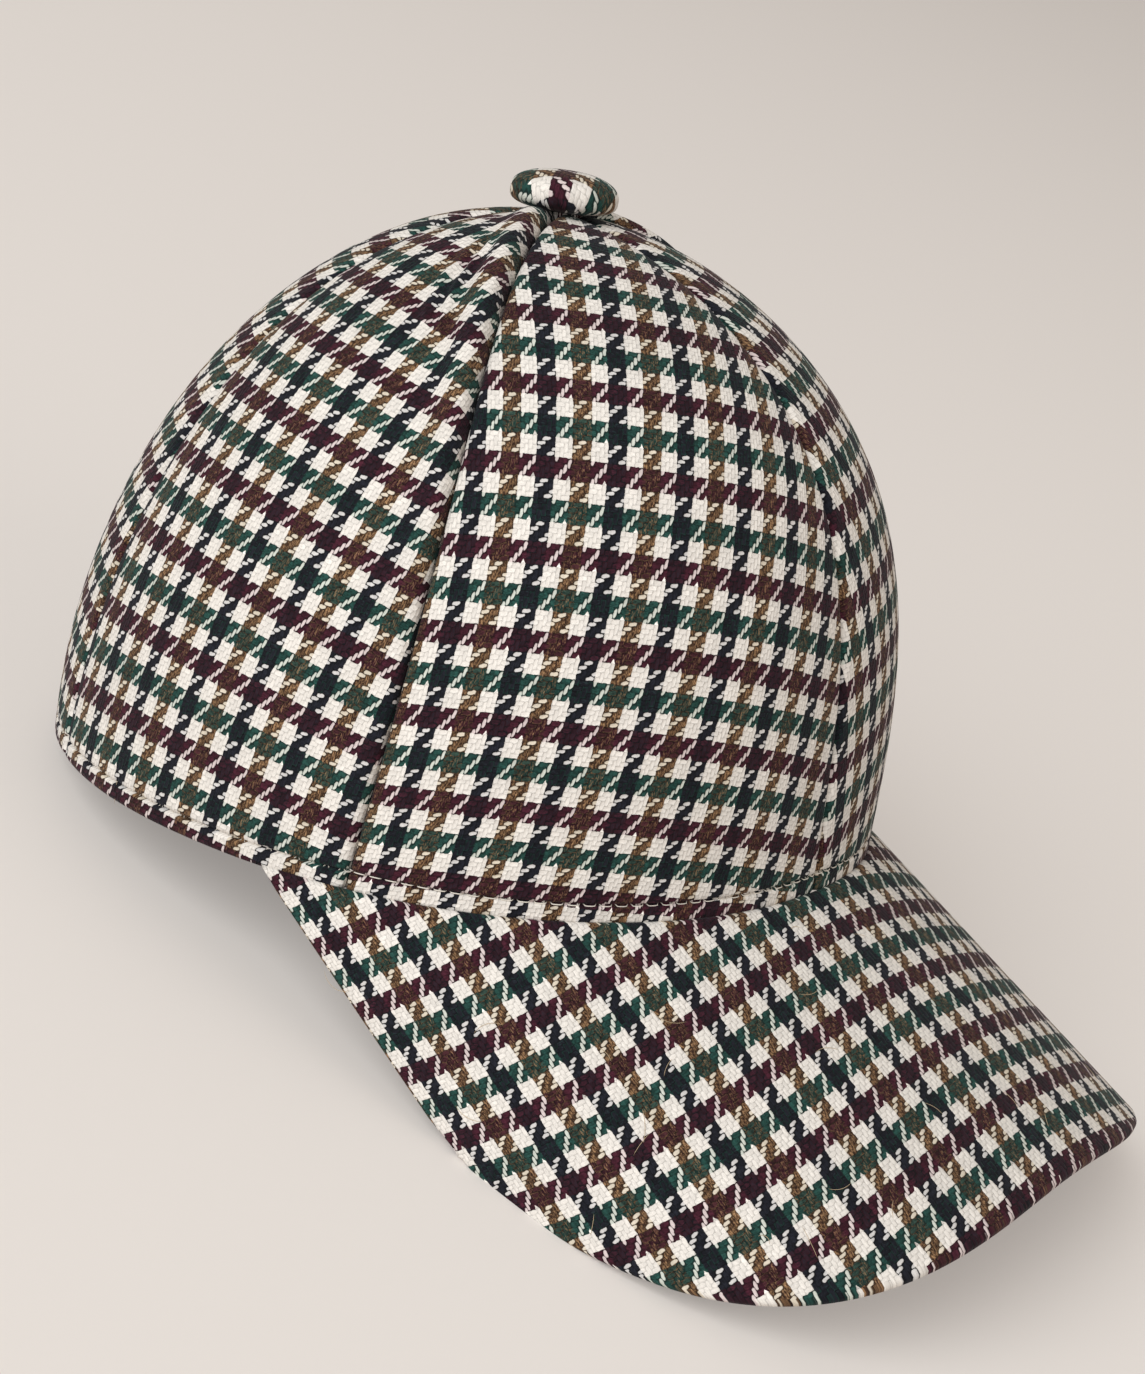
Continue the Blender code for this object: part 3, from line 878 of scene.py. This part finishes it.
def make_tubes(name, paths, ups, radius, sides, taper):
    """One mesh of many thin round threads, from an array of paths and of directions across them.

    The taper is the share of the radius that is left at a thread's ends.
    """
    count, steps = paths.shape[:2]
    ahead = unit(np.gradient(paths, axis=1))
    across = unit(np.cross(ahead, ups))
    over = np.cross(across, ahead)
    share = np.linspace(0.0, 1.0, steps)
    widths = radius * (taper + (1.0 - taper) * np.sin(math.pi * share) ** TAPER_POWER)
    turns = 2.0 * math.pi * np.arange(sides) / sides
    rings = paths[:, :, None] + widths[None, :, None, None] * (
        across[:, :, None] * np.cos(turns)[:, None] + over[:, :, None] * np.sin(turns)[:, None])
    grid = np.arange(count * steps * sides).reshape(count, steps, sides)
    after = np.roll(grid, -1, axis=2)
    quads = np.stack([grid[:, :-1], grid[:, 1:], after[:, 1:], after[:, :-1]], axis=-1).reshape(-1, 4)
    ends = np.concatenate([grid[:, 0], grid[:, -1, ::-1]])
    return build_object(name, rings.reshape(-1, 3), quads, ends=ends.tolist())


def make_stitches(lines, material):
    """Topstitching above the hem: short threads that dip into the cloth at both ends."""
    points = np.concatenate([line[0] for line in lines])
    normals = np.concatenate([line[1] for line in lines])
    lengths = np.concatenate([[0.0], np.cumsum(np.linalg.norm(np.diff(points, axis=0), axis=1))])
    starts = np.arange(0.0, lengths[-1] - STITCH_STEP, STITCH_STEP)
    share = np.linspace(0.0, 1.0, STITCH_SAMPLES)
    places = starts[:, None] + STITCH_LENGTH * share[None, :]

    def read(values):
        return np.stack([np.interp(places, lengths, values[:, axis]) for axis in range(3)], axis=-1)

    ups = unit(read(normals))
    lift = STITCH_LIFT - STITCH_DIP * (2.0 * share - 1.0) ** STITCH_DIP_POWER
    paths = read(points) + ups * lift[None, :, None]
    stitches = make_tubes("hem_topstitch", paths, ups, STITCH_RADIUS, sides=6, taper=0.8)
    dress(stitches, None, material)


def make_hairs(surfaces, material):
    """Stray hairs of the wool that lie on the cloth."""
    random = np.random.default_rng(HAIR_SEED)
    paths, ups = [], []
    for count, outer in surfaces:
        last_row, last_column = (size - 1 - HAIR_MARGIN for size in outer.shape[:2])
        slopes = np.cross(np.gradient(outer, axis=1), np.gradient(outer, axis=0))
        all_points, all_slopes = outer.reshape(-1, 3), slopes.reshape(-1, 3)
        for _ in range(count):
            row, column = random.uniform(HAIR_MARGIN, last_row), random.uniform(HAIR_MARGIN, last_column)
            heading, bend = random.uniform(0.0, 2.0 * math.pi), random.normal(0.0, HAIR_BEND)
            length = random.uniform(*HAIR_LENGTHS)
            normal = unit(slopes[int(row), int(column)])
            side = unit(np.cross(normal, ASIDE))
            front = np.cross(normal, side)
            turn = heading + bend * np.linspace(-0.5, 0.5, HAIR_SAMPLES)
            steps = np.cos(turn)[:, None] * side + np.sin(turn)[:, None] * front
            steps = steps * length / (HAIR_SAMPLES - 1.0)
            path = outer[int(row), int(column)] + np.cumsum(steps, axis=0) - steps.sum(axis=0) / 2.0
            for point in path:
                nearest = np.argmin(((all_points - point) ** 2).sum(axis=1))
                up = unit(all_slopes[nearest])
                point += up * (np.dot(all_points[nearest] - point, up) + HAIR_LIFT)
            paths.append(path)
            ups.append(np.broadcast_to(normal, path.shape))
    hairs = make_tubes("stray_hairs", np.array(paths), np.array(ups), HAIR_RADIUS, sides=4, taper=0.3)
    dress(hairs, None, material)


def make_brim_edge(top, bottom, material):
    """Pale thread that shows along the lower edge of the brim."""
    level = (top + (bottom - top) * EDGE_LEVEL)[EDGE_FIRST_ROW:]
    path = np.concatenate([level[:, 0], level[-1, 1:-1], level[::-1, -1]])
    across = unit(np.cross(np.gradient(path, axis=0), (top - bottom)[0, 0]))
    inside = level[-1].mean(axis=0) * (0.0, 0.5, 1.0)
    facing = np.sign((across * (path - inside)).sum(axis=1, keepdims=True))
    path = path + across * facing * EDGE_RADIUS / 2.0
    ups = np.broadcast_to(unit((top - bottom)[0, BRIM_COLUMNS // 2]), path.shape)
    edge = make_tubes("brim_edge_thread", path[None], ups[None], EDGE_RADIUS, sides=8, taper=1.0)
    dress(edge, None, material)


def stitch_line(outer, flat):
    """Points and outward directions of one panel's part of the topstitching, from its front seam."""
    level = flat[:, 0, 1]
    upper = int(np.searchsorted(level, STITCH_LINE))
    share = (STITCH_LINE - level[upper - 1]) / (level[upper] - level[upper - 1])
    points = outer[upper - 1] * (1.0 - share) + outer[upper] * share
    normals = unit(np.cross(np.gradient(points, axis=0), outer[upper + 1] - outer[upper - 1]))
    outward = points * (1.0, 1.0, 0.0)
    facing = np.sign((normals * outward).sum(axis=1, keepdims=True))
    inner_columns = slice(STITCH_MARGIN, -STITCH_MARGIN)
    return points[inner_columns], (normals * facing)[inner_columns]


def make_cap():
    """The cap's pieces: panels on the wearer's right and their mirror images, brim, button and threads."""
    cloth = weave_material("checked_wool_weave")
    thread = plain_material("cream_thread", COLOURS["sewing_thread"], 0.8)
    hair = plain_material("wool_hair", COLOURS["hair"], 0.6)
    flip = np.array([-1.0, 1.0, 1.0])
    lines, surfaces = [], []
    for place, first_seam, last_seam in PANELS:
        outer, inner, flat = panel_grids(first_seam, last_seam, has_ridge=place == "side")
        line = stitch_line(outer, flat)
        lines.append(line)
        lines.insert(0, tuple((values * flip)[::-1] for values in line))
        mirrored = [grid[:, ::-1] for grid in (outer * flip, inner * flip, flat * flip[:2])]
        for side, grids in (("right", (outer, inner, flat)), ("left", mirrored)):
            node = f"panel_{place}_{side}"
            threads = threads_of(place, grids[2], mirrored=side == "left")
            dress(make_mesh(f"{node}_cloth", grids[0], grids[1], threads), node, cloth)
            surfaces.append((HAIR_COUNTS[side], grids[0]))
    top, bottom, flat = brim_grids()
    dress(make_mesh("brim_cloth", top, bottom, threads_of("brim", flat)), "brim", cloth)
    surfaces.append((HAIR_COUNTS["brim"], top))
    dress(make_button(), "button", cloth)
    make_brim_edge(top, bottom, thread)
    make_stitches(lines, thread)
    make_hairs(surfaces, hair)


def make_stage():
    """Plain pale floor."""
    corners = [(x * FLOOR_REACH, y * FLOOR_REACH, 0.0) for x, y in ((-1, -1), (1, -1), (1, 1), (-1, 1))]
    data = bpy.data.meshes.new("floor")
    data.from_pydata(corners, [], [(0, 1, 2, 3)])
    floor = bpy.data.objects.new("floor", data)
    bpy.context.scene.collection.objects.link(floor)
    plaster = plain_material("floor_plaster", COLOURS["floor"], 0.8)
    shader = plaster.node_tree.nodes["Principled BSDF"]
    shader.inputs["Emission Color"].default_value = COLOURS["floor_lift"]
    shader.inputs["Emission Strength"].default_value = FLOOR_LIFT
    data.materials.append(plaster)


def make_light(name, place, target, size, power, colour):
    """Round soft light that faces its target."""
    light = bpy.data.lights.new(name, "AREA")
    light.shape = "DISK"
    light.size = size
    light.energy = power
    light.color = colour
    lamp = bpy.data.objects.new(name, light)
    bpy.context.scene.collection.objects.link(lamp)
    lamp.location = place
    lamp.rotation_mode = "QUATERNION"
    lamp.rotation_quaternion = (Vector(target) - Vector(place)).to_track_quat("-Z", "Y")


def make_lights():
    """Soft lights and the even light of the room."""
    for row in LIGHTS:
        make_light(*row)
    world = bpy.data.worlds.new("studio")
    bpy.context.scene.world = world
    world.use_nodes = True
    background = world.node_tree.nodes["Background"]
    background.inputs[0].default_value = ROOM_COLOUR
    background.inputs[1].default_value = ROOM_STRENGTH


def make_camera():
    """Camera at the photograph's angle to the cap."""
    camera = bpy.data.cameras.new("camera")
    holder = bpy.data.objects.new("camera", camera)
    bpy.context.scene.collection.objects.link(holder)
    right, up = Vector(CAMERA_RIGHT), Vector(CAMERA_UP)
    back = right.cross(up)
    turn = Matrix((right, up, back)).transposed().to_4x4()
    holder.matrix_world = Matrix.Translation(CAMERA_PLACE) @ turn
    camera.sensor_fit = "HORIZONTAL"
    camera.sensor_width = SENSOR_WIDTH
    camera.lens = FOCAL_PIXELS / PICTURE_WIDTH * SENSOR_WIDTH
    camera.clip_start, camera.clip_end = 0.01, 50.0
    bpy.context.scene.camera = holder


make_cap()
make_stage()
make_lights()
make_camera()
bpy.context.scene.view_settings.view_transform = "Standard"
